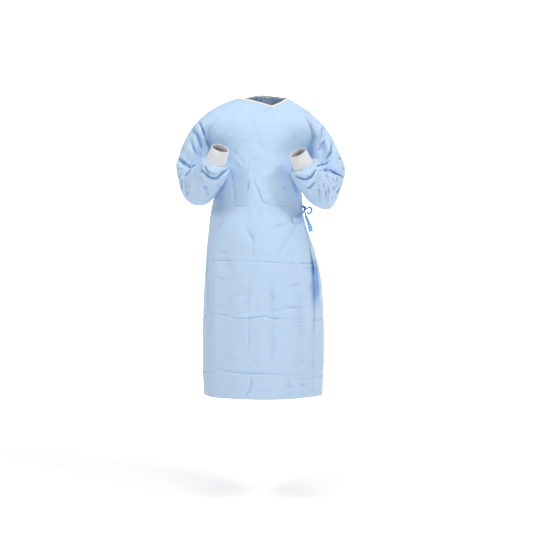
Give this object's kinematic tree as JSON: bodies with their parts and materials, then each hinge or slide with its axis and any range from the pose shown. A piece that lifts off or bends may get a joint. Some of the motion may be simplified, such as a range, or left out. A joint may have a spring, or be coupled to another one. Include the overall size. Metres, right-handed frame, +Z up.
{
  "type": "surgical gown",
  "caption": "Hollow wrap-around surgical gown with raglan sleeves, knit cuffs and a side tie, posed as worn with both forearms raised in front of the chest.",
  "frame": {"origin": "inside the garment, between the shoulders at the height of the neck opening, where the wearer's shoulders carry it", "axes": "+Z up, from the hem to the neck; -Y out of the front panel; +X to the wearer's left, the side of the tie"},
  "size_m": [0.6392, 0.3976, 1.1462],
  "materials": {
    "robe": "thin light-blue nonwoven, finely embossed, slightly translucent, matt with a faint sheen",
    "knit": "white ribbed knit, soft and matt",
    "binding": "ivory bias binding, matt",
    "tie": "blue nonwoven strip, matt"
  },
  "bodies": {
    "root": {"front_panel": "robe", "back_panel_right": "robe", "back_panel_left": "robe", "sleeve_right": "robe", "sleeve_left": "robe", "front_tie_patch": "robe", "cuff_right": "knit", "cuff_left": "knit", "neck_binding": "binding", "front_tie": "tie", "wrap_tie": "tie", "tie_knot": "tie", "tie_loop": "tie", "tie_tail": "tie"}
  },
  "joints": []
}
